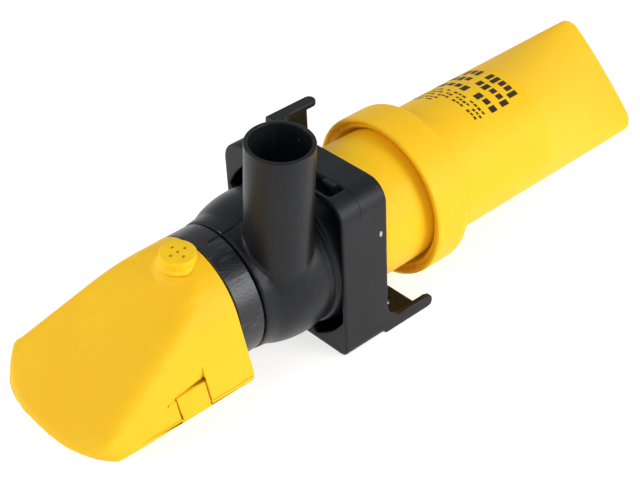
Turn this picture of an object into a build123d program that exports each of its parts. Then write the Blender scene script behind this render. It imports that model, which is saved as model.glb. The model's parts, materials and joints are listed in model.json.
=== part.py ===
from build123d import *
from math import acos, atan2, cos, degrees, hypot, radians, sin, sqrt
import os

# Slim in-line submersible bilge pump, lying on its side in a plastic bracket.
# Row frame: +X towards the motor's tail, +Y away from the outlet's side, +Z up, millimetres.
# The origin is on the bracket's underside, below the pump's axis and half way along the base.
# Stations are X distances along the pump's axis, counted from the bracket's front face.

# ---- driving dimensions ----
lean = 6.0                 # the pump is turned this far in its bracket, outlet towards -Y
tail_turn = 45.0           # angle of the motor tail's flat about the axis
axis_height = 26.0         # pump axis above the base
base_mid = 15.0            # station of the origin
fit_gap = 0.05             # radial clearance of a running fit
seat_gap = 0.1             # clearance between pieces that sit in each other

bracket_near = 23.9        # near wall's outside to the axis
bracket_far = 25.4
bracket_height = 52.0
bracket_depth = 16.5
bracket_wall = 1.4
plate_end = 29.8
plate_thick = 2.2
finger_end = 34.6
far_finger_end = 32.8
finger_thick = 1.9
sweep_radius = 6.0          # hollow where a finger leaves the frame
finger_height = 4.0
screw_radius = 2.2
screw_spacing = 28.0
screw_station = 23.4

hood_nose = -86.0
hood_rim = -32.7
hood_radius = 19.2
hood_half_width = 24.6
hood_depth = 9.6           # hood's lower edge below the axis
hood_wall = 1.6
rear_wall = 1.9
hood_lip = 1.2
hood_slope = 0.55
nose_length = 20.0
nose_fullness = 0.68        # 0.55 would be an ellipse; more is squarer
base_thick = 1.4
tray_depth = 20.6
tray_half_width = 16.6
tray_slope_end = -52.0
tab_start = -57.0
tab_end = -47.6
tab_top = -3.8
button_station = -38.2
button_radius = 5.1
stem_radius = 2.5

spigot_end = -37.0
spigot_radius = 15.5
spigot_bore = 13.9
neck_radius = 19.3
shoulder_start = -24.0
shoulder_end = -19.4
scroll_station = -11.3
scroll_channel = 7.4
scroll_mid_radius = 12.9
scroll_radius = 22.3
scroll_shift = 0.4
outlet_station = -12.3
outlet_offset = 10.1
outlet_radius = 9.4
outlet_wall = 1.25
outlet_top = 49.7
hose_start = 29.15          # the hose goes no lower; the tube has moulding draft below
outlet_foot_radius = 9.6

sleeve_radius = 18.9
sleeve_bore = 16.9
barrel_radius = 20.7
barrel_bore = 19.0
barrel_front = 3.5
collar_front = 35.4
collar_back = 48.8
collar_radius = 25.3
barrel_joint = 42.0
tail_start = 88.9
tail_end = 138.4
tail_half_thick = 1.7
tip_radius = 5.0
lug_radius = 22.3

shaft_radius = 1.59
can_radius = 17.6
can_front = 11.0
can_back = 60.0
impeller_radius = 12.4
gland_station = 64.0


# ---- helpers: everything about the pump is drawn about the X axis, then placed ----
def disc(start, end, outer, inner=0.0):
    """Round bar or tube along X between two stations."""
    solid = Pos(start, 0, 0) * Rot(0, 90, 0) * Cylinder(
        outer, end - start, align=(Align.CENTER, Align.CENTER, Align.MIN))
    if inner > 0:
        solid -= Pos(start - 1, 0, 0) * Rot(0, 90, 0) * Cylinder(
            inner, end - start + 2, align=(Align.CENTER, Align.CENTER, Align.MIN))
    return solid


def block(low, high):
    """Box between two opposite corners."""
    size = [high[i] - low[i] for i in range(3)]
    middle = [(high[i] + low[i]) / 2 for i in range(3)]
    return Pos(*middle) * Box(*size)


def turned(*lines):
    """Solid turned about X from edges in the X-Z plane that form one closed outline."""
    return revolve(make_face(Curve() + list(lines)), Axis.X)


def turned_outline(points):
    """Solid turned about X from a closed polygon of (station, radius) points."""
    return turned(Polyline(*[(x, 0, r) for x, r in points], close=True))


def about_axis(shape, angle):
    return Rot(angle, 0, 0) * shape


def place(shape, angle=lean):
    """Put a piece of the pump at its height, turned about the axis."""
    return Pos(-base_mid, 0, axis_height) * Rot(angle, 0, 0) * shape


def save(node, shape):
    export_step(shape, f"parts/{node}.step")


# ---- mounting bracket ----
def rounded_square(inset, low_corner, high_corner, start, end):
    """Bar along X with the bracket's outline moved in by inset, its lower and upper corners rounded."""
    width = bracket_near + bracket_far - 2 * inset
    height = bracket_height - 2 * inset
    face = Plane.YZ * Pos((bracket_far - bracket_near) / 2, bracket_height / 2) * Rectangle(width, height)
    face = fillet(face.vertices().sort_by(Axis.Z)[:2], low_corner)
    face = fillet(face.vertices().sort_by(Axis.Z)[-2:], high_corner)
    return Pos(start, 0, 0) * extrude(face, end - start, dir=(1, 0, 0))


def mount_bracket():
    front_web = 2.0
    inner_web = (8.6, 10.6)
    back_web = 14.0
    inside = bracket_wall
    axis = Pos(0, 0, axis_height)

    body = rounded_square(0, 2.5, 6.5, 0, bracket_depth)
    body -= rounded_square(inside, 1.2, 5.1, front_web, inner_web[0])
    body -= rounded_square(inside, 1.2, 5.1, inner_web[1], back_web)

    # the front opening is round, with four notches, and runs out to the walls at the near upper corner
    opening = disc(-1, front_web + 0.5, 23.0)
    for middle in (45, 135, 225, 315):
        opening += disc(-1, front_web + 0.5, 26.4) & about_axis(block((-2, -9.2, 18), (4, 9.2, 30)), middle)
    opening = axis * opening
    opening += block((-1, -bracket_near, axis_height - 9), (front_web + 0.5, -4, bracket_height))
    body -= opening & rounded_square(inside, 1.2, 5.1, -1, front_web + 0.5)
    body -= axis * disc(front_web, bracket_depth + 1, barrel_radius + fit_gap)

    # a slot through the upper wall behind the front rim, with a stepped latch at its near end
    slot = block((1.4, -17.6, bracket_height - 4), (6.9, 17.6, bracket_height + 1))
    latch = block((5.4, -14.6, bracket_height - 4), (7, -10.4, bracket_height + 1))
    body -= slot - latch
    body += foot() + far_plate()
    return Pos(-base_mid, 0, 0) * body


def foot():
    """Flat plate behind the frame's lower wall, with a narrow finger along its near edge."""
    start = bracket_depth - 1
    near = -bracket_near
    reach = finger_height + sweep_radius
    plate = block((start, near, 0), (plate_end, bracket_far, plate_thick))
    finger = block((start, near, 0), (finger_end, near + finger_thick, finger_height))
    tip = finger.edges().filter_by(Axis.Y).sort_by(Axis.X)[-2:]
    plate += fillet(tip, finger_height / 2 - 0.15)
    gusset = block((start, near, 0), (bracket_depth + sweep_radius, near + finger_thick, reach))
    gusset -= Pos(bracket_depth + sweep_radius, near, reach) * Rot(90, 0, 0) * Cylinder(sweep_radius, 10)
    plate += gusset
    for side in (-1, 1):
        plate -= Pos(screw_station, side * screw_spacing / 2, 0) * Cylinder(screw_radius, 3 * plate_thick)
    return plate


def far_plate():
    """The same plate on the far side, standing upright, with its finger along the top."""
    start = bracket_depth - 1
    far = bracket_far
    top = bracket_height
    reach = finger_height + sweep_radius
    plate = block((start, far - plate_thick, 0), (plate_end, far, top))
    finger = block((start, far - finger_height, top - finger_thick), (far_finger_end, far, top))
    tip = finger.edges().filter_by(Axis.Z).sort_by(Axis.X)[-2:]
    plate += fillet(tip, finger_height / 2 - 0.15)
    gusset = block((start, far - reach, top - finger_thick), (bracket_depth + sweep_radius, far, top))
    gusset -= Pos(bracket_depth + sweep_radius, far - reach, top) * Cylinder(sweep_radius, 10)
    plate += gusset
    for side in (-1, 1):
        hole = Pos(screw_station, far, axis_height + side * screw_spacing / 2) * Rot(90, 0, 0)
        plate -= hole * Cylinder(screw_radius, 3 * plate_thick)
    return plate


# ---- strainer ----
def hood_angle():
    """Angle above the horizontal where the hood's flared side leaves its round top."""
    return acos(hood_radius / hypot(hood_half_width, hood_depth)) - atan2(hood_depth, hood_half_width)


def hood_section(inset, low, start, end):
    """Bar along X with the hood's outline moved in by inset, from low up over the round top."""
    angle = hood_angle()
    radius = hood_radius - inset
    side = (radius * cos(angle), radius * sin(angle))
    foot = ((radius - low * sin(angle)) / cos(angle), low)
    outline = [
        Line(foot, side),
        ThreePointArc(side, (0, radius), (-side[0], side[1])),
        Line((-side[0], side[1]), (-foot[0], low)),
        Line((-foot[0], low), foot),
    ]
    return Pos(start, 0, 0) * extrude(Plane.YZ * make_face(Curve() + outline), end - start, dir=(1, 0, 0))


def side_view(nose, rim, low, lip, top):
    """Bar along Y with the hood's side view: a low lip at the nose and a straight slope up from it."""
    slope_end = nose + (top - lip) / hood_slope
    outline = Polyline((nose, low), (rim, low), (rim, top), (slope_end, top), (nose, lip), close=True)
    return extrude(Plane.XZ * make_face(outline), 2 * hood_half_width, both=True)


def plan_view(nose, rim, half, length, low, high):
    """Bar along Z with the strainer's plan: straight sides and an oval nose."""
    outline = Curve() + [
        Line((nose + length, -half), (rim, -half)),
        Line((rim, -half), (rim, half)),
        Line((rim, half), (nose + length, half)),
        Bezier((nose + length, half), (nose + length * (1 - nose_fullness), half),
               (nose, half * nose_fullness), (nose, 0)),
        Bezier((nose, 0), (nose, -half * nose_fullness),
               (nose + length * (1 - nose_fullness), -half), (nose + length, -half)),
    ]
    return Pos(0, 0, low) * extrude(make_face(outline), high - low)


def hood_solid(inset, low, start_trim):
    """The hood's closed shape, moved in by inset on every side but the bottom."""
    nose = hood_nose + inset
    rim = hood_rim - start_trim
    lip = hood_lip - hood_depth - inset * 0.7
    solid = hood_section(inset, low, nose, rim)
    solid &= side_view(nose, rim, low - 1, lip, hood_radius + 5)
    solid &= plan_view(nose, rim, hood_half_width + 0.6 - inset, nose_length, low - 1, hood_radius + 5)
    return solid


def tab_zone(grow):
    """The two side regions where the base's clips stand in the hood's wall."""
    zone = None
    for side in (-1, 1):
        low_y, high_y = sorted((side * 14.0, side * (hood_half_width + 3)))
        part = block((tab_start - grow, low_y, -hood_depth - 1), (tab_end + grow, high_y, tab_top + grow))
        zone = part if zone is None else zone + part
    return zone


def strainer_hood():
    hood = hood_solid(0, -hood_depth, 0)
    hood -= hood_solid(hood_wall, -hood_depth - 1, rear_wall)
    hood -= disc(hood_rim - rear_wall - 1, hood_rim + 1, spigot_radius + seat_gap)
    hood -= tab_zone(0.4)
    hood -= Pos(button_station, 0, 18) * Cylinder(stem_radius + seat_gap, 12)
    # finger scoops above the two clips
    for side in (-1, 1):
        scoop = Pos(tab_end - 1.5, side * 30.6, 3.5) * Sphere(10)
        hood -= scoop
    return hood


def tray_solid(inset, start, end):
    """Hull-shaped tray under the hood: flat bottom in the middle, chines up to the hood's edge."""
    top = -hood_depth - seat_gap
    edge = top - base_thick
    half = hood_half_width - inset
    keel = tray_half_width - inset
    floor = -tray_depth + inset
    section = make_face(Polyline((half, top + 3), (half, edge), (keel, floor), (-keel, floor), (-half, edge),
                                 (-half, top + 3), close=True))
    solid = Pos(start, 0, 0) * extrude(Plane.YZ * section, end - start, dir=(1, 0, 0))
    side = make_face(Polyline((start, top + 3), (end, top + 3), (end, floor), (tray_slope_end, floor),
                              (start, edge + inset * 0.6), close=True))
    solid &= extrude(Plane.XZ * side, 2 * half, both=True)
    return solid & plan_view(start, end, half + 0.01, nose_length - inset, floor - 1, top + 4)


def strainer_base():
    top = -hood_depth - seat_gap
    tray = tray_solid(0, hood_nose, hood_rim) - block((-100, -40, top), (0, 40, 40))
    tray -= tray_solid(hood_wall, hood_nose + hood_wall, hood_rim - rear_wall)
    tray -= disc(hood_rim - rear_wall - 1, hood_rim + 1, spigot_radius + seat_gap)
    tray -= block((hood_rim - rear_wall - 1, -spigot_radius - seat_gap, -5),
                  (hood_rim + 1, spigot_radius + seat_gap, 5))
    clips = (hood_section(0, top - 1, tab_start, tab_end)
             - hood_section(1.5, top - 2, tab_start - 1, tab_end + 1)) & tab_zone(0)
    tray += clips
    slot = 2.2
    pitch = 4.4
    bar_end = tray_slope_end + 2
    for row in range(-3, 4):
        tray -= block((bar_end, row * pitch - slot / 2, -tray_depth - 1),
                      (hood_rim - rear_wall - 2, row * pitch + slot / 2, -tray_depth + hood_wall + 0.3))
        tray -= block((hood_nose + 9, row * pitch - slot / 2, -tray_depth - 1),
                      (bar_end - 3, row * pitch + slot / 2, top - 1))
    return tray


def vent_button():
    head_top = 20.8
    stem_end = 16.6
    upright = (Align.CENTER, Align.CENTER, Align.MIN)
    head = Pos(button_station, 0, stem_end) * Cylinder(button_radius, head_top - stem_end, align=upright)
    head = fillet(head.faces().sort_by(Axis.Z)[-1].edges(), 0.5)
    head -= hood_section(-seat_gap, 0, hood_nose, hood_rim + 5) & side_view(
        hood_nose, hood_rim + 5, -1, hood_lip - hood_depth + seat_gap, 40)
    stem = Pos(button_station, 0, stem_end) * Cylinder(stem_radius, head_top - stem_end - 1, align=upright)
    button = head + stem
    hole = 0.45
    spread = 1.75
    for dx, dy in ((0, 0), (spread, spread), (spread, -spread), (-spread, spread), (-spread, -spread)):
        button -= Pos(button_station + dx, dy, head_top) * Cylinder(hole, 12)
    return button


# ---- volute housing and what is in it ----
def volute_housing():
    channel = scroll_channel
    outside = turned_outline([
        (spigot_end, 0), (spigot_end, spigot_radius - 0.6), (spigot_end + 0.6, spigot_radius),
        (shoulder_start, spigot_radius), (shoulder_start, neck_radius), (shoulder_end, neck_radius + 0.6),
        (shoulder_end + 4, neck_radius + 0.6), (-1.6, 21.6), (3.0, 21.6), (3.0, sleeve_radius),
        (10.4, sleeve_radius), (10.4, 0)])
    # the scroll's outside is round and stands a little off the axis
    belly = turned(
        Polyline((shoulder_end, 0, 0), (shoulder_end, 0, neck_radius + 0.2)),
        ThreePointArc((shoulder_end, 0, neck_radius + 0.2), (-10.0, 0, scroll_radius), (-1.0, 0, scroll_radius - 0.5)),
        Polyline((-1.0, 0, scroll_radius - 0.5), (-1.0, 0, 0), (shoulder_end, 0, 0)),
    )
    outside += Pos(0, scroll_shift, scroll_shift) * belly
    upright = (Align.CENTER, Align.CENTER, Align.MIN)
    spigot = Pos(outlet_station, -outlet_offset, hose_start) * Cylinder(
        outlet_radius, outlet_top - hose_start, align=upright)
    spigot = fillet(spigot.faces().sort_by(Axis.Z)[-1].edges(), 0.55)
    outside += spigot
    outside += Pos(outlet_station, -outlet_offset, 0) * Cone(
        outlet_foot_radius, outlet_radius, hose_start, align=upright)
    outside += Pos(outlet_station, -outlet_offset, 0) * Sphere(outlet_foot_radius)

    outside -= disc(spigot_end - 1, -23.0, spigot_bore)
    outside -= disc(-23.5, -17.0, 9.0)
    room = turned(
        Polyline((-17.6, 0, 0), (-17.6, 0, scroll_mid_radius)),
        ThreePointArc((-17.6, 0, scroll_mid_radius), (scroll_station, 0, scroll_mid_radius + channel),
                      (-5.0, 0, scroll_mid_radius)),
        Polyline((-5.0, 0, scroll_mid_radius), (-5.0, 0, 0), (-17.6, 0, 0)),
    )
    outside -= room
    outside -= disc(-5.1, -4.7, scroll_mid_radius)
    outside -= disc(-4.8, 11, sleeve_bore)
    outside -= disc(5.7, 7.1, 20, sleeve_radius - 1.1)
    outside -= Pos(outlet_station, -outlet_offset, 2) * Cylinder(
        outlet_radius - outlet_wall, outlet_top, align=(Align.CENTER, Align.CENTER, Align.MIN))
    return outside


def neck_ring():
    ring = disc(hood_rim + 0.3, shoulder_start - 0.5, neck_radius - 0.2, spigot_radius + seat_gap / 2)
    return fillet(ring.edges().filter_by(GeomType.CIRCLE).sort_by(SortBy.RADIUS)[-2:], 0.4)


def strainer_retainer():
    start = hood_rim - rear_wall - 2.3
    ring = disc(start, start + 2.0, 16.4, spigot_radius + seat_gap / 2)
    return ring - block((start - 1, -1.5, 0), (start + 4, 1.5, 20))


def eye_plate():
    plate = disc(-28.0, -23.1, spigot_bore - seat_gap / 2, 12.4)
    plate += disc(-24.6, -23.1, spigot_bore - seat_gap / 2, 8.0)
    for angle in (30, 150, 270):
        plate += about_axis(block((-24.6, -0.8, 0), (-23.1, 0.8, 8.6)), angle)
    return plate + disc(-24.6, -23.1, 2.4)


def impeller():
    hub = disc(-17.0, -6.6, 3.6)
    wheel = hub + disc(-7.8, -6.6, impeller_radius)
    for blade in range(5):
        curve = ThreePointArc((0, 3.0), (2.6, 7.8), (7.6, 9.6))
        side = Plane.YZ * make_face(Curve() + [
            curve,
            Line((7.6, 9.6), (6.9, 10.2)),
            ThreePointArc((6.9, 10.2), (1.6, 8.6), (-1.2, 3.0)),
            Line((-1.2, 3.0), (0, 3.0)),
        ])
        blade_solid = Pos(-15.6, 0, 0) * extrude(side, 7.9, dir=(1, 0, 0))
        wheel += about_axis(blade_solid, blade * 72)
    return wheel - disc(-15.8, -6, shaft_radius + 0.02) - disc(-18, -15.5, 1.25)


def impeller_screw():
    head = disc(-18.4, -17.05, 2.6)
    return head - block((-18.6, -0.4, -3), (-17.9, 0.4, 3)) + disc(-17.2, -16.0, 1.2)


def seal_plate():
    rim = sleeve_bore - seat_gap / 2
    plate = disc(-4.75, -2.6, rim, 4.9)
    plate += disc(-2.7, 2.6, 8.0, 4.9)
    plate += disc(-2.7, -0.2, rim, rim - 1.6)
    return plate - disc(-5.5, 3, 4.9)


def shaft_seal():
    seal = turned_outline([(-3.6, 4.85), (2.0, 4.85), (2.0, 3.9), (0.2, 3.9), (-0.6, shaft_radius + 0.03),
                           (-1.4, shaft_radius + 0.03), (-1.0, 3.3), (-3.6, 3.3)])
    return seal


def body_seal_ring():
    middle = 6.4
    ring = Pos(middle, 0, 0) * Rot(0, 90, 0) * Torus(sleeve_radius - 0.5, 0.55)
    return ring


# ---- motor unit ----
def front_barrel():
    barrel = disc(barrel_front, barrel_joint - 0.2, barrel_radius, barrel_bore)
    barrel = fillet(barrel.edges().filter_by(GeomType.CIRCLE).sort_by(Axis.X)[:1], 0.4)
    for middle in (45, 135, 225, 315):
        lug = disc(4.2, 7.6, lug_radius, barrel_radius - 0.5) & about_axis(
            block((4, -2.6, 15), (8, 2.6, 25)), middle)
        barrel += lug
    return barrel


def tail_shape(start, end, radius, half_thick):
    """Round at the front, drawn out flat at the end: a loft from a circle to a thin oval."""
    front = Plane.YZ * Circle(radius)
    back = Plane.YZ * Ellipse(radius, half_thick)
    return loft([Pos(start, 0, 0) * front, Pos(end, 0, 0) * back], ruled=True)


def tail_outline():
    """Plan of the tail with its two rounded corners, drawn a little wider than the tail."""
    wide = barrel_radius + 0.4
    straight = barrel_radius - tip_radius
    inner = barrel_radius - 0.24 * tip_radius
    bend = tail_end - 0.3 * tip_radius
    return Curve() + [
        Polyline((tail_end - tip_radius - 0.6, wide), (tail_start - 1, wide), (tail_start - 1, -wide),
                 (tail_end - tip_radius - 0.6, -wide)),
        ThreePointArc((tail_end - tip_radius - 0.6, -wide), (bend, -inner), (tail_end, -straight)),
        Line((tail_end, -straight), (tail_end, straight)),
        ThreePointArc((tail_end, straight), (bend, inner), (tail_end - tip_radius - 0.6, wide)),
    ]


def rear_housing():
    collar = turned(
        Polyline((collar_front + 3.2, 0, 0), (collar_front + 3.2, 0, 21.9), (collar_front + 1.2, 0, 21.9),
                 (collar_front + 1.2, 0, 22.6), (collar_front + 3.2, 0, 22.8), (collar_front + 3.2, 0, 23.3),
                 (collar_front + 0.7, 0, 23.7)),
        ThreePointArc((collar_front + 0.7, 0, 23.7), (collar_front, 0, 24.3), (collar_front + 0.8, 0, collar_radius)),
        Line((collar_front + 0.8, 0, collar_radius), (collar_back - 2.6, 0, collar_radius)),
        ThreePointArc((collar_back - 2.6, 0, collar_radius), (collar_back - 0.75, 0, collar_radius - 0.75),
                      (collar_back, 0, collar_radius - 2.4)),
        Polyline((collar_back, 0, collar_radius - 2.4), (collar_back, 0, 0), (collar_front + 3.2, 0, 0)),
    )
    tail = tail_shape(tail_start, tail_end, barrel_radius, tail_half_thick)
    tail &= extrude(make_face(tail_outline()), 2 * barrel_radius, both=True)
    housing = collar + disc(collar_back - 1, tail_start, barrel_radius) + tail
    room = disc(barrel_joint - 1, tail_start, barrel_bore)
    room += tail_shape(tail_start, tail_end - 6, barrel_bore, 0.6)
    housing -= disc(collar_front, barrel_joint + 1.4, barrel_radius + seat_gap / 2)
    housing -= room
    housing -= gland_axis() * Cylinder(3.2, 60, align=(Align.CENTER, Align.CENTER, Align.MIN))
    return housing


def gland_axis():
    """Frame on the side away from the tail's upper flat, pointing straight out."""
    return Pos(gland_station, 0, 0) * Rot(180, 0, 0)


def cable_gland():
    outer = gland_axis() * Pos(0, 0, barrel_radius + 0.4) * Cylinder(
        4.6, 1.6, align=(Align.CENTER, Align.CENTER, Align.MIN))
    neck = gland_axis() * Pos(0, 0, barrel_bore - 1.2) * Cylinder(
        3.1, 4.2, align=(Align.CENTER, Align.CENTER, Align.MIN))
    nose = gland_axis() * Pos(0, 0, barrel_radius + 1.9) * Cone(
        3.6, 2.9, 3.2, align=(Align.CENTER, Align.CENTER, Align.MIN))
    gland = outer + neck + nose
    return gland - gland_axis() * Cylinder(1.9, 60, align=(Align.CENTER, Align.CENTER, Align.MIN))


def collar_seal_ring():
    return Pos(barrel_joint + 0.6, 0, 0) * Rot(0, 90, 0) * Torus(19.9, 0.6)


def motor_can():
    can = disc(can_front, can_back, can_radius, can_radius - 1.0)
    can += disc(can_front, can_front + 1.2, can_radius, 4.1)
    can += disc(can_front - 2.2, can_front + 0.2, 5.2, 4.1)
    for side in (-1, 1):
        can -= Pos(can_front, 0, side * 9.5) * Rot(0, 90, 0) * Cylinder(1.3, 6)
    return can


def motor_magnets():
    magnets = disc(17, 48, can_radius - 1.05, can_radius - 4.2)
    for side in (-1, 1):
        magnets -= block((16, side * 20 - 14.5, -6), (49, side * 20 + 14.5, 6))
    return magnets


def armature_stack():
    stack = disc(19, 44, 12.6, shaft_radius + 0.005)
    for pole in range(5):
        slot = disc(18, 45, 11.0, 5.2) & about_axis(block((18, -2.3, 4), (45, 2.3, 11.5)), pole * 72)
        mouth = about_axis(block((18, -0.7, 10), (45, 0.7, 14)), pole * 72)
        stack -= slot + mouth
    return stack


def armature_windings():
    windings = disc(15.6, 18.9, 10.2, 4.6) + disc(44.1, 47.6, 10.2, 4.6)
    for pole in range(5):
        bar = disc(17, 46, 10.6, 5.5) & about_axis(block((17, -1.9, 5), (46, 1.9, 10.8)), pole * 72)
        windings += bar
    return windings


def commutator():
    drum = disc(48.4, 55.0, 4.2, shaft_radius + 0.005) + disc(47.7, 48.6, 5.0, shaft_radius + 0.005)
    for bar in range(5):
        drum -= about_axis(block((48.8, -0.25, 3.5), (56, 0.25, 6)), bar * 72)
    return drum


def brushes():
    return [block((49.8, side * 6.3 - 2.0, -1.6), (53.6, side * 6.3 + 2.0, 1.6)) for side in (-1, 1)]


def brush_springs():
    springs = []
    for side in (-1, 1):
        coil = disc(0, 3.8, 1.5, 1.0)
        springs.append(Pos(51.7, side * 8.4, 0) * Rot(0, 0, side * 90) * coil)
    return springs


def motor_end_cap():
    cap = disc(can_back + 0.1, can_back + 2.6, can_radius, 4.1)
    cap += disc(can_back - 3.4, can_back + 0.2, can_radius - 1.1, can_radius - 3.0)
    cap += disc(can_back + 2.4, can_back + 5.0, 5.6, 4.1)
    for side in (-1, 1):
        terminal = block((can_back + 2.5, side * 11 - 1.2, -0.3), (can_back + 8.0, side * 11 + 1.2, 0.3))
        cap += terminal
    return cap


def shaft_bearings():
    front = disc(can_front - 2.1, can_front + 1.1, 4.05, shaft_radius + fit_gap)
    back = disc(can_back + 0.2, can_back + 4.9, 4.05, shaft_radius + fit_gap)
    return [front, back]


def motor_shaft():
    shaft = disc(-15.7, can_back + 5.6, shaft_radius)
    return chamfer(shaft.edges().filter_by(GeomType.CIRCLE), 0.25)


def motor_screws():
    screws = []
    for side in (-1, 1):
        head = disc(3.2, 5.2, 2.4) - block((3.0, -0.35, -3), (3.9, 0.35, 3))
        screw = head + disc(5.1, can_front + 1.1, 1.2)
        screws.append(Pos(0, 0, side * 9.5) * screw)
    return screws


def motor_mount():
    """Web across the front of the barrel that the motor is screwed to."""
    web = disc(5.3, 8.6, sleeve_bore - seat_gap, 6.0)
    for side in (-1, 1):
        web -= Pos(4, 0, side * 9.5) * Rot(0, 90, 0) * Cylinder(1.35, 12)
    return web


# ---- water-level control in the tail ----
def control_board():
    board = block((73, -13.5, -0.8), (108, 13.5, 0.8))
    board -= Pos(77, 10, 0) * Cylinder(1.1, 4)
    return board - Pos(77, -10, 0) * Cylinder(1.1, 4)


def board_components():
    parts = [
        block((80, -5, 0.85), (90, 4, 3.4)),
        block((94, -8, 0.85), (101, -3, 2.6)),
        Pos(98, 5, 0.85) * Cylinder(3.2, 6.0, align=(Align.CENTER, Align.CENTER, Align.MIN)),
    ]
    for row in range(4):
        parts.append(block((81 + 3.2 * row, 8, 0.85), (82.6 + 3.2 * row, 11, 1.7)))
    return parts


def sensor_plates():
    return [block((110, side * 8 - 6, -0.4), (122, side * 8 + 6, 0.4)) for side in (-1, 1)]


# ---- non-return valve in the outlet ----
flap_level = 24.0
flap_radius = 6.5
flap_hinge = 6.7


def valve_seat():
    bore = outlet_radius - outlet_wall - seat_gap / 2
    ring = Cylinder(bore, 2.2, align=(Align.CENTER, Align.CENTER, Align.MAX)) - Cylinder(5.4, 6)
    ears = None
    for side in (-1, 1):
        ear = block((side * 2.4 - 0.5, flap_hinge - 0.9, -0.5), (side * 2.4 + 0.5, flap_hinge + 0.9, 1.6))
        ears = ear if ears is None else ears + ear
    ears &= Cylinder(bore, 10)
    seat = ring + ears
    seat -= Pos(0, flap_hinge, 0.75) * Rot(0, 90, 0) * Cylinder(0.45, 10)
    return Pos(outlet_station, -outlet_offset, flap_level) * seat


def valve_flap():
    disc_part = Pos(0, -0.2, 0.12) * Cylinder(flap_radius - 0.2, 1.1, align=(Align.CENTER, Align.CENTER, Align.MIN))
    disc_part &= block((-8, -8, 0), (8, flap_hinge - 1.4, 3))
    arm = block((-1.7, 3.5, 0.12), (1.7, flap_hinge, 1.22))
    barrel = Pos(0, flap_hinge, 0.75) * Rot(0, 90, 0) * Cylinder(0.62, 3.4)
    flap = disc_part + arm + barrel
    flap -= Pos(0, flap_hinge, 0.75) * Rot(0, 90, 0) * Cylinder(0.4, 10)
    return Pos(outlet_station, -outlet_offset, flap_level) * flap


def flap_pin():
    pin = Pos(0, flap_hinge, 0.75) * Rot(0, 90, 0) * Cylinder(0.35, 5.6)
    return Pos(outlet_station, -outlet_offset, flap_level) * pin


# ---- write every piece ----
os.makedirs("parts", exist_ok=True)
save("mount_bracket", mount_bracket())
for make in (strainer_hood, strainer_base, vent_button, volute_housing, neck_ring, strainer_retainer, eye_plate,
             impeller, impeller_screw, seal_plate, shaft_seal, body_seal_ring, valve_seat, valve_flap, flap_pin,
             front_barrel, motor_can, motor_magnets, armature_stack, armature_windings, commutator, motor_end_cap,
             motor_shaft, motor_mount, collar_seal_ring):
    save(make.__name__, place(make()))
for make in (brushes, brush_springs, shaft_bearings, motor_screws):
    save(make.__name__, Compound(children=[place(piece) for piece in make()]))
save("rear_housing", place(rear_housing(), tail_turn))
save("cable_gland", place(cable_gland(), tail_turn))
save("control_board", place(control_board(), tail_turn))
save("board_components", Compound(children=[place(piece, tail_turn) for piece in board_components()]))
save("sensor_plates", Compound(children=[place(piece, tail_turn) for piece in sensor_plates()]))
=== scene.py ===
import bpy
import json
from math import cos, pi, radians, sin
from mathutils import Matrix, Vector


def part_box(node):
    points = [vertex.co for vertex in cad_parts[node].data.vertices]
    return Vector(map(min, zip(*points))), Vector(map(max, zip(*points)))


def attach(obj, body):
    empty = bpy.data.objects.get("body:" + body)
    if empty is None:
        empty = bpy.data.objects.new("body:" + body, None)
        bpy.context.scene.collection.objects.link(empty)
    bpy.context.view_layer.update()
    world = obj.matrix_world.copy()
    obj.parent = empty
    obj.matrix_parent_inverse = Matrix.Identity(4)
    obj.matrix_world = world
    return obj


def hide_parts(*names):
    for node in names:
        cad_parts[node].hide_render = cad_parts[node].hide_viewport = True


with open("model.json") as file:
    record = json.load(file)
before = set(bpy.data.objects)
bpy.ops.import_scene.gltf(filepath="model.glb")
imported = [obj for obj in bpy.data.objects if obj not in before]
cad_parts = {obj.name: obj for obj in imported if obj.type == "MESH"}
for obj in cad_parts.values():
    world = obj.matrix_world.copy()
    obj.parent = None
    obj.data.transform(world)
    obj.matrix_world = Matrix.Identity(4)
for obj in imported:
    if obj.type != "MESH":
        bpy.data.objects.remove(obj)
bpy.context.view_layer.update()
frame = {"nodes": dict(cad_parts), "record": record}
nodes = frame["nodes"]

mm = 0.001
lean = radians(6)                       # the pump is turned this far in its bracket
smoothAngle = radians(30)
weldDistance = 0.01 * mm
shaftLow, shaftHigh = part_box("motor_shaft")
axisHeight = (shaftLow.z + shaftHigh.z) / 2
bracketLow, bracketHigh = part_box("mount_bracket")
hoodLow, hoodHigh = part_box("strainer_hood")
pumpPlace = Matrix.Translation((0, 0, axisHeight)) @ Matrix.Rotation(lean, 4, "X")


# modelling helpers
def station(value):
    # millimetres from the bracket's front face, along the pump's axis
    return (value - 15) * mm


def clearSelection():
    if bpy.context.object and bpy.context.object.mode != "OBJECT":
        bpy.ops.object.mode_set(mode="OBJECT")
    bpy.ops.object.select_all(action="DESELECT")


def pick(piece):
    clearSelection()
    piece.select_set(True)
    bpy.context.view_layer.objects.active = piece
    return piece


def primitive(kind, name, **values):
    # one of Blender's own primitives, selected, named and with its place in its mesh
    clearSelection()
    getattr(bpy.ops.mesh, "primitive_" + kind + "_add")(**values)
    piece = bpy.context.object
    piece.name = name
    bpy.ops.object.transform_apply(location=True, rotation=True, scale=True)
    return piece


def box(name, low, high):
    low, high = Vector(low), Vector(high)
    middle = (low + high) / 2
    piece = primitive("cube", name, size=1, location=middle)
    editAll(piece)
    bpy.ops.transform.resize(value=high - low, center_override=middle)
    finishEdit()
    return piece


def barAlongX(name, start, end, radius, sides=96):
    return primitive("cylinder", name, vertices=sides, radius=radius, depth=end - start,
                     location=((start + end) / 2, 0, 0), rotation=(0, pi / 2, 0))


def postAlongZ(name, x, y, low, high, radius, sides=64):
    return primitive("cylinder", name, vertices=sides, radius=radius, depth=high - low,
                     location=(x, y, (low + high) / 2))


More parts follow.
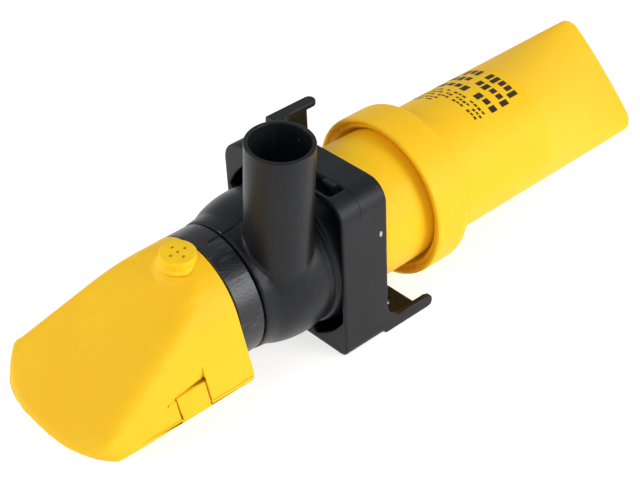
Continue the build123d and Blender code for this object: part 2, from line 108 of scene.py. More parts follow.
def editAll(piece, kind="VERT"):
    pick(piece)
    bpy.ops.object.mode_set(mode="EDIT")
    bpy.ops.mesh.select_mode(type=kind)
    bpy.ops.mesh.select_all(action="SELECT")


def selectWhere(piece, test, kind="VERT"):
    # leaves the piece in edit mode with only the elements that pass the test selected
    pick(piece)
    bpy.ops.object.mode_set(mode="EDIT")
    bpy.ops.mesh.select_mode(type=kind)
    bpy.ops.mesh.select_all(action="DESELECT")
    bpy.ops.object.mode_set(mode="OBJECT")
    mesh = piece.data
    items = {"VERT": mesh.vertices, "EDGE": mesh.edges, "FACE": mesh.polygons}[kind]
    for item in items:
        item.select = bool(test(item))
    bpy.ops.object.mode_set(mode="EDIT")


def finishEdit():
    bpy.ops.object.mode_set(mode="OBJECT")


def modify(piece, kind, **settings):
    pick(piece)
    modifier = piece.modifiers.new(kind.title(), kind)
    for key, value in settings.items():
        setattr(modifier, key, value)
    bpy.ops.object.modifier_apply(modifier=modifier.name)
    return piece


def join(piece, *others):
    for other in others:
        modify(piece, "BOOLEAN", operation="UNION", solver="EXACT", object=other)
        bpy.data.objects.remove(other)
    return piece


def cut(piece, *others):
    for other in others:
        modify(piece, "BOOLEAN", operation="DIFFERENCE", solver="EXACT", object=other)
        bpy.data.objects.remove(other)
    return piece


def keepInside(piece, other):
    modify(piece, "BOOLEAN", operation="INTERSECT", solver="EXACT", object=other)
    bpy.data.objects.remove(other)
    return piece


def sliceOff(piece, point, normal):
    # removes what lies on the side the normal points to, and closes the cut
    editAll(piece)
    bpy.ops.mesh.bisect(plane_co=point, plane_no=normal, use_fill=True, clear_outer=True)
    finishEdit()
    return piece


def spinProfile(name, profile, steps, angle):
    # (x, radius) points drawn by extruding one vertex, then spun about the pump's axis, left in edit mode
    piece = primitive("plane", name, size=mm, location=(profile[0][0], 0, profile[0][1]))
    editAll(piece)
    bpy.ops.mesh.merge(type="CENTER")
    for first, second in zip(profile, profile[1:]):
        step = (second[0] - first[0], 0, second[1] - first[1])
        bpy.ops.mesh.extrude_region_move(TRANSFORM_OT_translate={"value": step})
    bpy.ops.mesh.select_all(action="SELECT")
    bpy.ops.mesh.spin(steps=steps, angle=angle, center=(0, 0, 0), axis=(1, 0, 0))
    bpy.ops.mesh.select_all(action="SELECT")
    return piece


def lathe(name, profile, steps):
    # a whole turn of a profile, closed and facing outwards
    piece = spinProfile(name, profile, steps, 2 * pi)
    bpy.ops.mesh.remove_doubles(threshold=weldDistance)
    bpy.ops.mesh.select_all(action="SELECT")
    bpy.ops.mesh.normals_make_consistent(inside=False)
    finishEdit()
    return piece


def arc(centre, radius, startAngle, endAngle, count):
    # points (x, radius) on part of a circle, angles in degrees from +x
    points = []
    for i in range(count + 1):
        angle = radians(startAngle + (endAngle - startAngle) * i / count)
        points.append((centre[0] + radius * cos(angle), centre[1] + radius * sin(angle)))
    return points


def soften(piece, voxel, rounds):
    modify(piece, "REMESH", mode="VOXEL", voxel_size=voxel, adaptivity=0)
    modify(piece, "SMOOTH", factor=0.5, iterations=rounds)
    return piece


def relax(piece, test, rounds):
    # smooths only the points that pass the test
    selectWhere(piece, lambda v: test(v.co))
    bpy.ops.mesh.vertices_smooth(factor=0.5, repeat=rounds)
    finishEdit()
    return piece


def settle(piece):
    # out of the pump's own frame into the object's, ready to ride
    pick(piece)
    piece.data.transform(pumpPlace)
    bpy.ops.object.shade_smooth_by_angle(angle=smoothAngle)
    return piece


def copyOf(node, name):
    # a merged copy of a CAD node, with its flat faces whole again
    piece = nodes[node].copy()
    piece.data = nodes[node].data.copy()
    piece.name = name
    bpy.context.scene.collection.objects.link(piece)
    piece.parent = None
    for key in list(piece.keys()):
        del piece[key]
    editAll(piece)
    bpy.ops.mesh.remove_doubles(threshold=weldDistance)
    bpy.ops.mesh.select_all(action="SELECT")
    bpy.ops.mesh.dissolve_limited(angle_limit=radians(0.5))
    finishEdit()
    return piece


def roundSharp(piece, width, segments, limit):
    editAll(piece, "EDGE")
    bpy.ops.mesh.select_all(action="DESELECT")
    bpy.ops.mesh.edges_select_sharp(sharpness=limit)
    bpy.ops.mesh.bevel(offset=width, segments=segments, affect="EDGES", clamp_overlap=False)
    finishEdit()
    return piece


def shaded(piece):
    pick(piece)
    bpy.ops.object.shade_smooth_by_angle(angle=smoothAngle)
    return modify(piece, "WEIGHTED_NORMAL", keep_sharp=True)


# materials
class Wire:
    # a shader socket that Python expressions can work with
    def __init__(self, graph, socket):
        self.graph = graph
        self.socket = socket

    def maths(self, operation, first, second):
        return self.graph.node("ShaderNodeMath", {"operation": operation}, {0: first, 1: second})

    def __add__(self, other):
        return self.maths("ADD", self, other)

    def __radd__(self, other):
        return self.maths("ADD", other, self)

    def __sub__(self, other):
        return self.maths("SUBTRACT", self, other)

    def __rsub__(self, other):
        return self.maths("SUBTRACT", other, self)

    def __mul__(self, other):
        return self.maths("MULTIPLY", self, other)

    def __rmul__(self, other):
        return self.maths("MULTIPLY", other, self)


class Graph:
    def __init__(self, name):
        self.material = bpy.data.materials.new(name)
        self.material.use_nodes = True
        self.tree = self.material.node_tree
        self.shader = self.tree.nodes["Principled BSDF"]
        self.place = self.node("ShaderNodeTexCoord", output="Object")

    def node(self, kind, settings=None, inputs=None, output=0):
        made = self.tree.nodes.new(kind)
        for key, value in (settings or {}).items():
            if key == "stops":
                ramp = made.color_ramp
                while len(ramp.elements) < len(value):
                    ramp.elements.new(0.5)
                for element, (position, shade) in zip(ramp.elements, value):
                    element.position = position
                    element.color = (shade, shade, shade, 1)
            else:
                setattr(made, key, value)
        for key, value in (inputs or {}).items():
            self.feed(made.inputs[key], value)
        return Wire(self, made.outputs[output])

    def feed(self, socket, value):
        if isinstance(value, Wire):
            self.tree.links.new(value.socket, socket)
        else:
            socket.default_value = value

    def noise(self, scale, detail=3, stretch=(1, 1, 1), roughness=0.5):
        place = self.node("ShaderNodeMapping", inputs={"Vector": self.place, "Scale": stretch})
        return self.node("ShaderNodeTexNoise", inputs={"Vector": place, "Scale": scale, "Detail": detail,
                                                      "Roughness": roughness})

    def ramp(self, value, low, high):
        return self.node("ShaderNodeValToRGB", {"stops": [(low, 0), (high, 1)]}, {0: value})

    def specks(self, scale, size):
        # small round marks, 1 inside each
        cells = self.node("ShaderNodeTexVoronoi", inputs={"Vector": self.place, "Scale": scale}, output="Distance")
        return 1 - self.ramp(cells, size * 0.6, size)

    def mix(self, factor, first, second):
        return self.node("ShaderNodeMix", {"data_type": "RGBA"}, {0: factor, 6: first, 7: second}, output=2)

    def finish(self, tone, roughness, height, depth, **fixed):
        bump = self.node("ShaderNodeBump", inputs={"Height": height, "Strength": 1, "Distance": depth})
        self.feed(self.shader.inputs["Base Color"], tone)
        self.feed(self.shader.inputs["Roughness"], roughness)
        self.feed(self.shader.inputs["Normal"], bump)
        for key, value in fixed.items():
            self.shader.inputs[key.replace("_", " ")].default_value = value
        return self.material


def colour(red, green, blue):
    # a colour as seen on a screen, 0 to 255, to the shader's linear values
    def linear(value):
        value /= 255
        return value / 12.92 if value <= 0.04045 else ((value + 0.055) / 1.055) ** 2.4
    return (linear(red), linear(green), linear(blue), 1)


def mouldedYellow(name, light, dark, gloss, grain):
    graph = Graph(name)
    broad = graph.noise(28, 2)
    mottle = graph.noise(420, 3)
    peel = graph.noise(1400, 2)
    scuffs = graph.ramp(graph.noise(900, 4, (0.15, 1, 1), 0.6), 0.6, 0.78)
    tone = graph.mix(graph.ramp(broad * 0.7 + mottle * 0.3, 0.35, 0.65), light, dark)
    rough = gloss + mottle * 0.08 + scuffs * 0.12
    return graph.finish(tone, rough, peel * 0.7 + mottle * 0.5 - scuffs * 0.25, grain,
                        Subsurface_Weight=0.12, Subsurface_Scale=0.004, Specular_IOR_Level=0.22)


def mouldedBlack(name, light, dark, gloss, grain, streak, dust, shine=0.26):
    graph = Graph(name)
    broad = graph.noise(45, 3)
    fine = graph.noise(1600, 3)
    lines = graph.ramp(graph.noise(700, 3, streak, 0.6), 0.55, 0.75)
    marks = graph.specks(170, 0.06) * graph.ramp(graph.noise(60, 2), 0.5, 0.6)
    tone = graph.mix(graph.ramp(broad, 0.35, 0.65), dark, light)
    worn = graph.mix(lines * dust + marks * 0.5, tone, colour(120, 120, 122))
    rough = gloss + broad * 0.1 + lines * 0.1 + fine * 0.06
    return graph.finish(worn, rough, fine * 0.8 + lines * 0.5 + marks * 0.8, grain, Specular_IOR_Level=shine)


def metalFinish(name, light, dark, gloss, stretch, metallic=1.0):
    graph = Graph(name)
    lines = graph.noise(1500, 3, stretch)
    stains = graph.noise(90, 4)
    tone = graph.mix(graph.ramp(stains * 0.6 + lines * 0.4, 0.35, 0.65), dark, light)
    return graph.finish(tone, gloss + lines * 0.15 + stains * 0.12, lines, 0.00002, Metallic=metallic)


even = (1, 1, 1)                        # a grain that runs the same in all directions
materials = {
    "yellow": mouldedYellow("yellowPlastic", colour(251, 199, 30), colour(249, 193, 23), 0.46, 0.000006),
    "button": mouldedYellow("buttonPlastic", colour(253, 208, 30), colour(251, 202, 24), 0.36, 0.000005),
    "film": mouldedYellow("labelFilm", colour(250, 190, 12), colour(248, 184, 8), 0.30, 0.000002),
    "acetal": mouldedYellow("whiteAcetal", colour(232, 230, 220), colour(216, 214, 204), 0.35, 0.00001),
    "black": mouldedBlack("blackPlastic", colour(27, 28, 32), colour(19, 20, 23), 0.36, 0.000012,
                          (1, 1, 0.2), 0.05),
    "pump": mouldedBlack("pumpPlastic", colour(24, 25, 29), colour(17, 18, 21), 0.28, 0.000008,
                         (1, 1, 0.1), 0.04),
    "band": mouldedBlack("bandPlastic", colour(28, 29, 34), colour(15, 16, 20), 0.24, 0.0001,
                         (0.16, 1, 1), 0.26, 0.5),
    "rubber": mouldedBlack("sealRubber", colour(40, 40, 40), colour(24, 24, 24), 0.55, 0.00002, even, 0.05),
    "cap": mouldedBlack("capNylon", colour(80, 80, 84), colour(60, 60, 64), 0.45, 0.00002, even, 0.1),
    "scar": mouldedBlack("gateScar", colour(190, 190, 192), colour(160, 160, 164), 0.5, 0.00002, even, 0.1),
    # the scroll's mould line in a black darker than the scroll itself: painted shade along the line
    "seam": mouldedBlack("seamShadow", colour(14, 14, 16), colour(9, 9, 11), 0.5, 0.00001, even, 0.0),
    "print": mouldedBlack("printInk", colour(76, 52, 14), colour(48, 34, 14), 0.42, 0.000008, even, 0.02),
    "board": mouldedBlack("boardLaminate", colour(24, 104, 52), colour(14, 76, 36), 0.35, 0.00002,
                          (1, 0.1, 1), 0.05),
    "steel": metalFinish("turnedSteel", colour(190, 192, 196), colour(150, 152, 158), 0.22, (1, 0.1, 0.1)),
    "can": metalFinish("platedCan", colour(176, 178, 180), colour(140, 142, 146), 0.32, (0.1, 1, 1)),
    "ferrite": metalFinish("ferrite", colour(70, 70, 74), colour(44, 44, 48), 0.5, even, 0.3),
    "copper": metalFinish("enamelledCopper", colour(202, 120, 66), colour(160, 82, 40), 0.28, (1, 0.2, 0.2)),
    "bronze": metalFinish("sinteredBronze", colour(190, 150, 92), colour(150, 112, 60), 0.4, even),
}


def dress(piece, finish):
    piece.data.materials.clear()
    piece.data.materials.append(materials[finish])
    return piece


finishOfNode = {
    "mount_bracket": "black", "strainer_hood": "yellow", "strainer_base": "yellow", "vent_button": "button",
    "volute_housing": "pump", "neck_ring": "band", "strainer_retainer": "black", "eye_plate": "black",
    "impeller": "acetal", "impeller_screw": "steel", "seal_plate": "cap", "shaft_seal": "rubber",
    "body_seal_ring": "rubber", "valve_seat": "cap", "valve_flap": "rubber", "flap_pin": "steel",
    "front_barrel": "yellow", "motor_can": "can", "motor_magnets": "ferrite", "armature_stack": "can",
    "armature_windings": "copper", "commutator": "copper", "motor_end_cap": "cap", "motor_shaft": "steel",
    "motor_mount": "cap", "collar_seal_ring": "rubber", "brushes": "ferrite", "brush_springs": "steel",
    "shaft_bearings": "bronze", "motor_screws": "steel", "rear_housing": "yellow", "cable_gland": "rubber",
    "control_board": "board", "board_components": "rubber", "sensor_plates": "copper",
}
for nodeName, finish in finishOfNode.items():
    dress(nodes[nodeName], finish)
print("materials made:", len(materials))

bodies = frame["record"]["behaviour"]["bodies"]
bodyOfNode = {member: body for body, members in bodies.items() for member in members}


def standIn(piece, node):
    # the finished piece takes over from one CAD node
    dress(piece, finishOfNode[node])
    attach(piece, bodyOfNode[node])
    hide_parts(node)
    return piece


def addOn(piece, node, finish):
    # a mark or print that rides on a node and replaces nothing
    dress(piece, finish)
    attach(piece, bodyOfNode[node])
    return piece


# the bracket
bracket = {
    "voxel": 0.4 * mm, "rounds": 3,
    "gatePlace": (station(14.0), bracketLow.y, 36.4 * mm), "gateSize": 0.9 * mm, "gateShape": (0.6, 0.2, 1),
    "gateRim": 0.06 * mm, "gateSink": 0.05 * mm,
    "seam": station(7.2), "seamWidth": 0.16 * mm, "seamDepth": 0.1 * mm, "seamReach": 49 * mm,
    "seamDrop": 13 * mm, "cornerRadius": 6.5 * mm, "seamEdge": 0.05 * mm,
}


def makeBracket():
    frameShell = soften(copyOf("mount_bracket", "bracketShell"), bracket["voxel"], bracket["rounds"])
    return standIn(shaded(frameShell), "mount_bracket")


def makeGateMark():
    # where the moulding gate was twisted off: a shallow oval blister with a broken middle
    place = bracket["gatePlace"]
    gate = primitive("uv_sphere", "gateMark", segments=24, ring_count=16, radius=bracket["gateSize"], location=place)
    editAll(gate)
    bpy.ops.transform.resize(value=bracket["gateShape"], center_override=place)
    finishEdit()
    selectWhere(gate, lambda f: f.normal.y < -0.97, "FACE")
    bpy.ops.mesh.inset(thickness=bracket["gateRim"], depth=-bracket["gateSink"])
    finishEdit()
    return addOn(shaded(gate), "mount_bracket", "scar")


def makeSeam():
    # the fine line where the two halves of the mould met, over the top and round the near corner
    middle, width = bracket["seam"], bracket["seamWidth"]
    seam = box("seamBar", (middle - width, bracketLow.y, bracketHigh.z - bracket["seamDrop"]),
               (middle + width, bracketLow.y + bracket["seamReach"], bracketHigh.z))
    spots = [vertex.co.copy() for vertex in seam.data.vertices]
    selectWhere(seam, lambda e: abs(spots[e.vertices[0]].x - spots[e.vertices[1]].x) > width, "EDGE")
    bpy.ops.mesh.bevel(offset=bracket["cornerRadius"], segments=24, affect="EDGES")
    finishEdit()
    selectWhere(seam, lambda f: abs(f.normal.x) > 0.9 or f.normal.z < -0.9, "FACE")
    bpy.ops.mesh.delete(type="FACE")
    finishEdit()
    modify(seam, "SOLIDIFY", thickness=2 * bracket["seamDepth"], offset=0)
    modify(seam, "BEVEL", width=bracket["seamEdge"], segments=2, limit_method="ANGLE", angle_limit=radians(50))
    return addOn(shaded(seam), "mount_bracket", "black")


makeBracket()
makeGateMark()
makeSeam()
print("bracket made")


# the motor's housing, rebuilt on an even grid so that the long barrel shades cleanly, with soft edges
rearHousing = {"voxel": 0.58 * mm, "rounds": 4}
tailHousing = soften(copyOf("rear_housing", "tailHousing"), rearHousing["voxel"], rearHousing["rounds"])
standIn(shaded(tailHousing), "rear_housing")
standIn(shaded(copyOf("front_barrel", "frontBarrelShell")), "front_barrel")
standIn(shaded(copyOf("neck_ring", "neckBand")), "neck_ring")


# the strainer's tray, drawn in a little below the hood's edge
tray = {"round": 0.3 * mm, "segments": 3, "sharp": radians(40), "top": axisHeight - 9 * mm,
        "drawIn": (0.99, 0.996, 1)}


def makeTray():
    piece = roundSharp(copyOf("strainer_base", "strainerTray"), tray["round"], tray["segments"], tray["sharp"])
    selectWhere(piece, lambda v: v.co.z < tray["top"])
    bpy.ops.transform.resize(value=tray["drawIn"], center_override=(hoodHigh.x, 0, 0))
    finishEdit()
    return standIn(shaded(piece), "strainer_base")


makeTray()
standIn(shaded(copyOf("cable_gland", "glandBoot")), "cable_gland")
print("barrel, tail, band, tray and gland made")


# the strainer's hood
hood = {
    "nose": hoodLow.x - 0.35 * mm, "rim": hoodHigh.x, "radius": 19.2 * mm, "halfWidth": 24.9 * mm,
    "depth": 9.6 * mm, "sideTilt": radians(66.4), "slope": 0.55, "lip": 1.2 * mm,
    "noseLength": 21 * mm, "nearProfile": 0.63, "farProfile": 0.53, "noseSteps": 40, "planSpare": 0.5 * mm,
    "edgeTrim": 0.5 * mm, "wall": 1.6 * mm, "cavityVoxel": 0.8 * mm, "cavityRounds": 4,
    "voxel": 0.55 * mm, "rounds": 26, "spare": 8 * mm, "neckHole": 15.62 * mm, "stemHole": 2.7 * mm,
    "buttonStation": station(-38.2), "bossFoot": 8 * mm, "bossTop": 17.2 * mm, "bossRadius": 6.0 * mm,
    "creaseBand": 7 * mm, "creaseRounds": 60, "creaseReach": 10 * mm, "creaseLow": -4 * mm,
    "creaseHigh": 15 * mm, "sideTop": 7.7 * mm, "sideSpread": 0.32,
    "scoopReach": 10.2 * mm, "scoopRise": 4.0 * mm, "scoopDeep": 1.3 * mm,
    "clipStart": station(-57.4), "clipEnd": station(-47.2), "clipTop": -3.4 * mm, "clipDepth": 14 * mm,
    "clipReach": 30 * mm, "edgeRound": 0.18 * mm,
}


def hoodSkirt():
    # the flared sides below the round top: a block whose foot is wider than its head
    foot = Vector((0, hood["halfWidth"], -hood["depth"]))
    head = Vector((0, hood["radius"] * sin(hood["sideTilt"]), hood["radius"] * cos(hood["sideTilt"])))
    foot = head + (foot - head) * (1 + hood["spare"] / hood["depth"])
    skirt = box("skirt", (hood["nose"] - hood["spare"], -head.y, foot.z),
                (hood["rim"] + hood["spare"], head.y, head.z))
    selectWhere(skirt, lambda v: v.co.z < 0)
    bpy.ops.transform.resize(value=(1, foot.y / head.y, 1), center_override=(0, 0, 0))
    finishEdit()
    return skirt


def hoodPlan():
    # straight sides and a full round nose, seen from above
    size, reach = hood["noseLength"], hood["radius"] * 2
    plan = box("plan", (hood["nose"], -size, -reach), (hood["rim"] + hood["spare"] * 2, size, reach))
    for side, profile in ((-1, hood["nearProfile"]), (1, hood["farProfile"])):
        spots = [vertex.co.copy() for vertex in plan.data.vertices]
        selectWhere(plan, lambda e: all(spots[i].x < hood["nose"] + mm and spots[i].y * side > size / 2
                                        for i in e.vertices), "EDGE")
        bpy.ops.mesh.bevel(offset=size * 0.998, segments=hood["noseSteps"], profile=profile, affect="EDGES")
        finishEdit()
    editAll(plan)
    bpy.ops.transform.resize(value=(1, (hood["halfWidth"] + hood["planSpare"]) / size, 1), center_override=(0, 0, 0))
    finishEdit()
    return plan


def sidePlane(side, along, up, out):
    # a point given on the hood's flared side: along the pump, up the slope of the side, and out of it
    tilt = hood["sideTilt"]
    normal = Vector((0, side * sin(tilt), cos(tilt)))
    rise = Vector((0, -side * cos(tilt), sin(tilt)))
    foot = Vector((0, side * hood["halfWidth"], -hood["depth"]))
    return foot + Vector((along, 0, 0)) + rise * up + normal * out


def fingerRecess(side):
    # a shallow scoop above each clip: its floor falls away towards the clip's rear top corner
    reach, rise, deep = hood["scoopReach"], hood["scoopRise"], hood["scoopDeep"]
    start = (hood["clipTop"] + hood["depth"]) / sin(hood["sideTilt"])
    recess = box("recess", (-1, -1, -1), (1, 1, 1))
    for corner in recess.data.vertices:
        along = 0 if corner.co.x > 0 else -1.25 * reach
        up = -0.2 * rise if corner.co.y < 0 else 1.4 * rise
        floor = -deep * (1 + along / reach - up / rise)
        out = 4 * mm if corner.co.z > 0 else floor
        corner.co = sidePlane(side, hood["clipEnd"] + along, start + up, out)
    editAll(recess)
    bpy.ops.mesh.normals_make_consistent(inside=False)
    finishEdit()
    return recess


def nearCrease(point):
    # where the slope meets the flared sides, which is rounded more than the rest
    slopeHeight = hood["lip"] - hood["depth"] + hood["slope"] * (point.x - hood["nose"])
    halfHere = hood["radius"] + max(0, hood["sideTop"] - point.z) * hood["sideSpread"]
    return (abs(point.z - slopeHeight) < hood["creaseBand"] and abs(point.y) > halfHere - hood["creaseReach"]
            and hood["creaseLow"] < point.z < hood["creaseHigh"])


def hoodCavity(shell):
    # the same shape drawn in by the wall's thickness, and stopped short of the rim
    pick(shell)
    bpy.ops.object.duplicate()
    cavity = bpy.context.object
    modify(cavity, "DISPLACE", strength=-hood["wall"], mid_level=0)
    soften(cavity, hood["cavityVoxel"], hood["cavityRounds"])
    behind = hood["rim"] - hood["wall"]
    return cut(cavity, box("behind", (behind, -0.05, -0.05), (behind + 0.05, 0.05, 0.05)))


def makeHood():
    rim, across = hood["rim"], hood["buttonStation"]
    shell = barAlongX("hoodShell", hood["nose"] - hood["spare"], rim + hood["spare"], hood["radius"], 160)
    join(shell, hoodSkirt())
    keepInside(shell, hoodPlan())
    sliceOff(shell, (hood["nose"], 0, hood["lip"] - hood["depth"]), (-hood["slope"], 0, 1))
    join(shell, postAlongZ("boss", across, 0, hood["bossFoot"], hood["bossTop"], hood["bossRadius"]))
    soften(shell, hood["voxel"], hood["rounds"])
    relax(shell, nearCrease, hood["creaseRounds"])
    cavity = hoodCavity(shell)
    sliceOff(shell, (0, 0, hood["edgeTrim"] - hood["depth"]), (0, 0, -1))
    sliceOff(shell, (rim, 0, 0), (1, 0, 0))
    cut(shell, fingerRecess(-1), fingerRecess(1), cavity)
    cut(shell, barAlongX("neckHole", rim - 6 * mm, rim + 2 * mm, hood["neckHole"], 128))
    cut(shell, postAlongZ("stemHole", across, 0, 12 * mm, 24 * mm, hood["stemHole"], 48))
    for side in (-1, 1):
        low, high = sorted((side * hood["clipDepth"], side * hood["clipReach"]))
        cut(shell, box("notch", (hood["clipStart"], low, -hood["depth"] - 2 * mm),
                       (hood["clipEnd"], high, hood["clipTop"])))
    modify(shell, "BEVEL", width=hood["edgeRound"], segments=2, limit_method="ANGLE", angle_limit=radians(50),
           use_clamp_overlap=False)
    return standIn(settle(shell), "strainer_hood")


makeHood()
print("hood made")


# the vent button, a domed cap over a stepped foot
button = {
    "x": hood["buttonStation"], "foot": 18.5 * mm, "top": 20.8 * mm, "radius": 5.1 * mm,
    "rimRound": 0.55 * mm, "steps": [(0.5 * mm, 1.1), (0.6 * mm, 1.03)],       # each step's drop and its spread
    "hole": 0.5 * mm, "holeDepth": 2 * mm, "spread": 2.35 * mm,
}


def makeButton():
    x, spread = button["x"], button["spread"]
    head = postAlongZ("ventButton", x, 0, button["foot"], button["top"], button["radius"], 96)
    selectWhere(head, lambda f: f.normal.z > 0.9, "FACE")
    bpy.ops.mesh.bevel(offset=button["rimRound"], segments=5, affect="EDGES")
    finishEdit()
    selectWhere(head, lambda f: f.normal.z < -0.9, "FACE")
    for drop, growth in button["steps"]:
        bpy.ops.mesh.extrude_region_move(TRANSFORM_OT_translate={"value": (0, 0, -drop)})
        bpy.ops.transform.resize(value=(growth, growth, 1), center_override=(x, 0, 0))
    finishEdit()
    for dx, dy in ((0, 0), (spread, 0), (-spread, 0), (0, spread), (0, -spread)):
        cut(head, postAlongZ("ventHole", x + dx, dy, button["top"] - button["holeDepth"], button["top"] + mm,
                             button["hole"], 20))
    return standIn(settle(head), "vent_button")


makeButton()
print("button made")


# the scroll housing; each profile is a list of (x, radius)
volute = {
    "outletX": station(-12.3), "outletY": -10.1 * mm, "outletRadius": 9.4 * mm, "bore": 8.15 * mm,
    "outletTop": 49.7 * mm, "boreFoot": 2 * mm, "neck": 15.5 * mm, "inlet": 13.9 * mm, "eye": 9 * mm,
    "bellyCentre": (station(-8.5), -4 * mm), "bellyRadius": 26.4 * mm, "bellySpan": (station(-18), station(-1.5)),
    "front": [(station(-27), 0), (station(-27), 15.5 * mm), (station(-24), 15.5 * mm),
              (station(-24), 19.3 * mm), (station(-19.6), 19.8 * mm)],
    "back": [(station(-0.5), 21.7 * mm), (station(3.0), 21.6 * mm), (station(3.0), 18.9 * mm),
             (station(10.4), 18.9 * mm), (station(10.4), 0)],
    "chamber": [(station(-17.6), 0), (station(-17.6), 12.9 * mm), (station(-11.3), 20.0 * mm),
                (station(-5.5), 17.5 * mm), (station(-4.8), 16.9 * mm), (station(11), 16.9 * mm),
                (station(11), 0)],
    "shroud": [(station(-1.2), 21.2 * mm), (station(-0.4), 22.5 * mm), (station(0.4), 22.9 * mm),
               (station(8.3), 22.9 * mm), (station(8.3), 22.45 * mm), (station(1.6), 22.45 * mm),
               (station(1.6), 21.2 * mm), (station(-1.2), 21.2 * mm)],
    "window": ((station(2.4), -3.2 * mm, 20 * mm), (station(7.7), 3.2 * mm, 26 * mm)), "windowTurn": radians(135),
    "voxel": 0.42 * mm, "rounds": 2, "blendRounds": 25, "blendTop": 12 * mm, "blendSide": -8 * mm,
    "blendSpan": (station(-23), station(-9.5)), "edgeRound": 0.3 * mm,
    "seam": [(station(-9.5), 22.42 * mm), (station(-12), 22.3 * mm), (station(-15), 21.75 * mm),
             (station(-17.4), 21.0 * mm), (station(-19.2), 19.95 * mm), (station(-23.8), 19.45 * mm),
             (station(-24.3), 19.0 * mm), (station(-24.8), 19.2 * mm), (station(-28.6), 19.2 * mm)],
    "seamTurn": radians(2), "seamWidth": radians(0.7), "seamThick": 0.16 * mm,
}


def makeShroud():
    # the thin skirt behind the scroll that hides the barrel's lugs, with a window low on the near side
    shroud = lathe("shroud", volute["shroud"], 160)
    window = box("window", *volute["window"])
    window.data.transform(Matrix.Rotation(volute["windowTurn"], 4, "X"))
    return cut(shroud, window)


def makeVolute():
    # neck, shoulder, the scroll's round belly and the collar that goes into the bracket, with the outlet joined on
    x, y, radius = volute["outletX"], volute["outletY"], volute["outletRadius"]
    start, end = volute["bellySpan"]
    belly = arc(volute["bellyCentre"], volute["bellyRadius"], 118, 78, 14)
    outline = volute["front"] + [point for point in belly if start < point[0] < end] + volute["back"]
    body = lathe("voluteShell", outline, 160)
    tube = postAlongZ("tube", x, y, 0, volute["outletTop"] + 3 * mm, radius, 96)
    root = primitive("uv_sphere", "root", segments=64, ring_count=32, radius=radius + 0.3 * mm, location=(x, y, 0))
    join(body, tube, root)
    soften(body, volute["voxel"], volute["rounds"])
    start, end = volute["blendSpan"]
    relax(body, lambda p: p.z < volute["blendTop"] and p.y < volute["blendSide"] and start < p.x < end,
          volute["blendRounds"])
    sliceOff(body, (0, 0, volute["outletTop"]), (0, 0, 1))
    join(body, barAlongX("spigot", station(-37), station(-26.5), volute["neck"], 128))
    cut(body, lathe("chamber", volute["chamber"], 96), barAlongX("inlet", station(-38), station(-23), volute["inlet"]),
        barAlongX("eye", station(-23.5), station(-17), volute["eye"], 64))
    cut(body, postAlongZ("bore", x, y, volute["boreFoot"], volute["outletTop"] + 5 * mm, volute["bore"], 96))
    join(body, makeShroud())
    modify(body, "BEVEL", width=volute["edgeRound"], segments=3, limit_method="ANGLE", angle_limit=radians(60),
           use_clamp_overlap=False)
    return standIn(settle(body), "volute_housing")


def makeVoluteSeam():
    # the fine mould line along the top of the scroll, over the shoulder and onto the neck band
    seam = spinProfile("voluteSeam", volute["seam"], 2, volute["seamWidth"])
    finishEdit()
    seam.data.transform(Matrix.Rotation(volute["seamTurn"], 4, "X"))
    modify(seam, "SOLIDIFY", thickness=volute["seamThick"], offset=0)
    # the strip's darker black is painted shade along the mould line
    return addOn(settle(seam), "volute_housing", "seam")


makeVolute()
makeVoluteSeam()
print("volute made")


# the label: plain printed blocks in three bold rows and five fine ones, on a film. Each row is its middle
# station, its height, its first and last angle and the number of blocks in each of its words
label = {
    "radius": 20.7 * mm, "ink": 0.05 * mm, "film": 0.03 * mm, "filmSpan": (60.5, 88.0), "filmTurn": (-62, 33),
    "gap": 0.42, "space": 1.6, "tall": (1, 0.72, 0.72, 1, 0.72, 0.86),
    "rows": [(83.4, 3.7, -30, 27, (3, 5)), (78.6, 3.0, -38, 31, (4, 5)), (73.6, 2.9, -40, 32, (5, 3)),
             (69.8, 0.9, -34, 27, (3, 1, 3, 4)), (68.0, 0.9, -40, 28, (6, 2, 4, 3)),
             (66.2, 0.9, -42, 27, (5, 3, 3, 3)), (64.2, 0.8, -42, -12, (6,)), (62.6, 0.8, -40, -16, (4, 2))],
}


def arcPatch(name, low, high, start, end, thickness):
    # a thin curved patch on the barrel between two x positions and two angles in degrees
    steps = max(2, round((end - start) / 2))
    profile = [(low, label["radius"]), (high, label["radius"])]
    patch = spinProfile(name, profile, steps, radians(end - start))
    bpy.ops.mesh.remove_doubles(threshold=0.001 * mm)
    finishEdit()
    patch.data.transform(Matrix.Rotation(radians(start), 4, "X"))
    modify(patch, "SOLIDIFY", thickness=thickness, offset=0)
    return patch


def makeLabel():
    bars = []
    gap, space, tall = label["gap"], label["space"], label["tall"]
    for middle, height, first, last, words in label["rows"]:
        units = sum(words) + gap * (sum(words) - len(words)) + space * (len(words) - 1)
        share = (last - first) / units
        angle = first
        for count in words:
            for letter in range(count):
                size = height * tall[(letter + count) % len(tall)]
                low = station(middle + height / 2 - size)
                bars.append(arcPatch("printBar", low, low + size * mm, angle, angle + share, label["ink"]))
                angle += (1 + gap) * share
            angle += (space - gap) * share
    clearSelection()
    for bar in bars:
        bar.select_set(True)
    bpy.context.view_layer.objects.active = bars[0]
    bpy.ops.object.join()
    bars[0].name = "printedBars"
    addOn(settle(bars[0]), "rear_housing", "print")
    low, high = label["filmSpan"]
    film = arcPatch("labelFilm", station(low), station(high), *label["filmTurn"], label["film"])
    addOn(settle(film), "rear_housing", "film")


makeLabel()
print("label made")


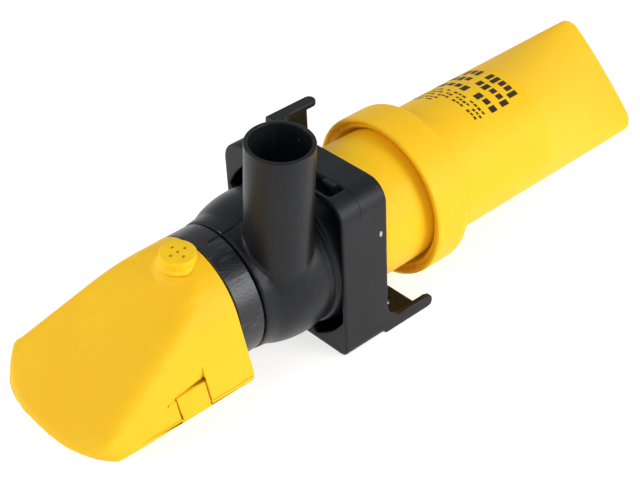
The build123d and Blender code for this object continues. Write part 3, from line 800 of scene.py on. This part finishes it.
# floor, light and camera; each light is its name, power, size and place
studio = {
    "floorSize": 6, "floorShade": colour(190, 190, 190), "floorGlow": 0.72, "sky": 0.5, "aim": (0, 0, 0.03),
    "lights": [("keyLight", 1.0, 0.5, (-0.5, -0.1, 0.75)), ("sideLight", 5.0, 0.5, (0.35, -0.75, 0.35)),
               ("rimLight", 1.8, 0.25, (-0.55, 0.45, 0.3))],
    "azimuth": radians(-40.64), "elevation": radians(36.44), "roll": radians(-2.75),
    "cameraPlace": (-0.22770, -0.26238, 0.27796), "lens": 84.0, "sensor": 36,
}


def makeStage():
    floor = primitive("plane", "floor", size=studio["floorSize"], location=(0, 0, 0))
    graph = Graph("paleFloor")
    graph.finish(studio["floorShade"], 0.9, graph.noise(20), 0.0001, Emission_Strength=studio["floorGlow"],
                 Emission_Color=(1, 1, 1, 1))
    floor.data.materials.append(graph.material)


def makeLight(name, power, size, place):
    lamp = bpy.data.lights.new(name, "AREA")
    lamp.energy = power
    lamp.size = size
    holder = bpy.data.objects.new(name, lamp)
    bpy.context.scene.collection.objects.link(holder)
    holder.location = place
    holder.rotation_euler = (Vector(studio["aim"]) - Vector(place)).to_track_quat("-Z", "Y").to_euler()


def makeWorld():
    world = bpy.data.worlds.new("studio")
    bpy.context.scene.world = world
    world.use_nodes = True
    sky = world.node_tree.nodes["Background"]
    sky.inputs["Color"].default_value = (1, 1, 1, 1)
    sky.inputs["Strength"].default_value = studio["sky"]
    bpy.context.scene.view_settings.view_transform = "Standard"


def makeCamera():
    azimuth, elevation, roll = studio["azimuth"], studio["elevation"], studio["roll"]
    right = Vector((cos(azimuth), sin(azimuth), 0))
    back = Vector((sin(azimuth) * cos(elevation), -cos(azimuth) * cos(elevation), sin(elevation)))
    up = back.cross(right)
    across = cos(roll) * right + sin(roll) * up
    upright = cos(roll) * up - sin(roll) * right
    camera = bpy.data.objects.new("camera", bpy.data.cameras.new("camera"))
    bpy.context.scene.collection.objects.link(camera)
    turn = Matrix((across, upright, back)).transposed().to_4x4()
    camera.matrix_world = Matrix.Translation(studio["cameraPlace"]) @ turn
    camera.data.lens = studio["lens"]
    camera.data.sensor_width = studio["sensor"]
    camera.data.clip_start = 0.01
    bpy.context.scene.camera = camera


makeStage()
for settings in studio["lights"]:
    makeLight(*settings)
makeWorld()
makeCamera()
print("stage ready")
